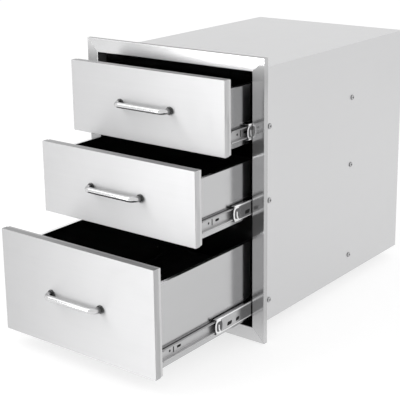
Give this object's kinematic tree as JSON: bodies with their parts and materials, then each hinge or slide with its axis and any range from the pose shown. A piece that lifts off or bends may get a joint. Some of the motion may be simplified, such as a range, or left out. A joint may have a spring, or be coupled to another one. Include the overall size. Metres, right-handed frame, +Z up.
{
  "type": "outdoor kitchen drawer unit",
  "caption": "Stainless drawer unit built into an outdoor kitchen island: flanged face frame and closed cabinet with full-extension drawers on ball slides, each with a bow handle.",
  "frame": {"origin": "underside of the cabinet, midway along its front edge, in the plane of the island's face", "axes": "+X to the right as one faces the drawers, +Y back into the island, +Z up"},
  "size_m": [0.457, 0.933, 0.584],
  "materials": {
    "frame_steel": "brushed",
    "cabinet_steel": "mill",
    "front_steel": "brushed",
    "liner_steel": "mill",
    "tray_steel": "mill",
    "handle_chrome": "polished",
    "slide_zinc": "zinc plated",
    "ball_steel": "polished",
    "screw_steel": "zinc plated"
  },
  "bodies": {
    "cabinet": {"bottom_left_slide_outer": "slide_zinc", "bottom_right_slide_outer": "slide_zinc", "cabinet_back": "cabinet_steel", "cabinet_bottom": "cabinet_steel", "cabinet_left_side": "cabinet_steel", "cabinet_right_side": "cabinet_steel", "cabinet_slide_screws": "screw_steel", "cabinet_top": "cabinet_steel", "frame_bottom_rail": "frame_steel", "frame_left_stile": "frame_steel", "frame_right_stile": "frame_steel", "frame_top_rail": "frame_steel", "middle_left_slide_outer": "slide_zinc", "middle_right_slide_outer": "slide_zinc", "top_left_slide_outer": "slide_zinc", "top_right_slide_outer": "slide_zinc"},
    "top_drawer": {"top_drawer_handle": "handle_chrome", "top_drawer_screws": "screw_steel", "top_drawer_tray": "tray_steel", "top_drawer_tray_back": "tray_steel", "top_drawer_tray_front": "tray_steel", "top_front_liner": "liner_steel", "top_front_skin": "front_steel", "top_handle_screws": "screw_steel", "top_left_slide_inner": "slide_zinc", "top_right_slide_inner": "slide_zinc"},
    "top_slide_middles": {"top_left_slide_middle": "slide_zinc", "top_right_slide_middle": "slide_zinc"},
    "top_outer_cages": {"top_outer_ball_cages": "ball_steel"},
    "top_inner_cages": {"top_inner_ball_cages": "ball_steel"},
    "middle_drawer": {"middle_drawer_handle": "handle_chrome", "middle_drawer_screws": "screw_steel", "middle_drawer_tray": "tray_steel", "middle_drawer_tray_back": "tray_steel", "middle_drawer_tray_front": "tray_steel", "middle_front_liner": "liner_steel", "middle_front_skin": "front_steel", "middle_handle_screws": "screw_steel", "middle_left_slide_inner": "slide_zinc", "middle_right_slide_inner": "slide_zinc"},
    "middle_slide_middles": {"middle_left_slide_middle": "slide_zinc", "middle_right_slide_middle": "slide_zinc"},
    "middle_outer_cages": {"middle_outer_ball_cages": "ball_steel"},
    "middle_inner_cages": {"middle_inner_ball_cages": "ball_steel"},
    "bottom_drawer": {"bottom_drawer_handle": "handle_chrome", "bottom_drawer_screws": "screw_steel", "bottom_drawer_tray": "tray_steel", "bottom_drawer_tray_back": "tray_steel", "bottom_drawer_tray_front": "tray_steel", "bottom_front_liner": "liner_steel", "bottom_front_skin": "front_steel", "bottom_handle_screws": "screw_steel", "bottom_left_slide_inner": "slide_zinc", "bottom_right_slide_inner": "slide_zinc"},
    "bottom_slide_middles": {"bottom_left_slide_middle": "slide_zinc", "bottom_right_slide_middle": "slide_zinc"},
    "bottom_outer_cages": {"bottom_outer_ball_cages": "ball_steel"},
    "bottom_inner_cages": {"bottom_inner_ball_cages": "ball_steel"}
  },
  "joints": [
    {"name": "top_drawer_slide", "type": "slide", "parent": "cabinet", "child": "top_drawer", "axis": [0, -1, 0], "range_m": [-0.084, 0.406]},
    {"name": "top_slide_middles_slide", "type": "slide", "parent": "cabinet", "child": "top_slide_middles", "axis": [0, -1, 0], "range_m": [-0.042, 0.203]},
    {"name": "top_outer_cages_slide", "type": "slide", "parent": "cabinet", "child": "top_outer_cages", "axis": [0, -1, 0], "range_m": [-0.021, 0.1015]},
    {"name": "top_inner_cages_slide", "type": "slide", "parent": "cabinet", "child": "top_inner_cages", "axis": [0, -1, 0], "range_m": [-0.063, 0.3045]},
    {"name": "middle_drawer_slide", "type": "slide", "parent": "cabinet", "child": "middle_drawer", "axis": [0, -1, 0], "range_m": [-0.177, 0.313]},
    {"name": "middle_slide_middles_slide", "type": "slide", "parent": "cabinet", "child": "middle_slide_middles", "axis": [0, -1, 0], "range_m": [-0.0885, 0.1565]},
    {"name": "middle_outer_cages_slide", "type": "slide", "parent": "cabinet", "child": "middle_outer_cages", "axis": [0, -1, 0], "range_m": [-0.04425, 0.07825]},
    {"name": "middle_inner_cages_slide", "type": "slide", "parent": "cabinet", "child": "middle_inner_cages", "axis": [0, -1, 0], "range_m": [-0.13275, 0.23475]},
    {"name": "bottom_drawer_slide", "type": "slide", "parent": "cabinet", "child": "bottom_drawer", "axis": [0, -1, 0], "range_m": [-0.299, 0.191]},
    {"name": "bottom_slide_middles_slide", "type": "slide", "parent": "cabinet", "child": "bottom_slide_middles", "axis": [0, -1, 0], "range_m": [-0.1495, 0.0955]},
    {"name": "bottom_outer_cages_slide", "type": "slide", "parent": "cabinet", "child": "bottom_outer_cages", "axis": [0, -1, 0], "range_m": [-0.07475, 0.04775]},
    {"name": "bottom_inner_cages_slide", "type": "slide", "parent": "cabinet", "child": "bottom_inner_cages", "axis": [0, -1, 0], "range_m": [-0.22425, 0.14325]}
  ],
  "couplings": [
    {"joint": "top_slide_middles_slide", "follows": "top_drawer_slide", "ratio": 0.5},
    {"joint": "top_outer_cages_slide", "follows": "top_drawer_slide", "ratio": 0.25},
    {"joint": "top_inner_cages_slide", "follows": "top_drawer_slide", "ratio": 0.75},
    {"joint": "middle_slide_middles_slide", "follows": "middle_drawer_slide", "ratio": 0.5},
    {"joint": "middle_outer_cages_slide", "follows": "middle_drawer_slide", "ratio": 0.25},
    {"joint": "middle_inner_cages_slide", "follows": "middle_drawer_slide", "ratio": 0.75},
    {"joint": "bottom_slide_middles_slide", "follows": "bottom_drawer_slide", "ratio": 0.5},
    {"joint": "bottom_outer_cages_slide", "follows": "bottom_drawer_slide", "ratio": 0.25},
    {"joint": "bottom_inner_cages_slide", "follows": "bottom_drawer_slide", "ratio": 0.75}
  ]
}
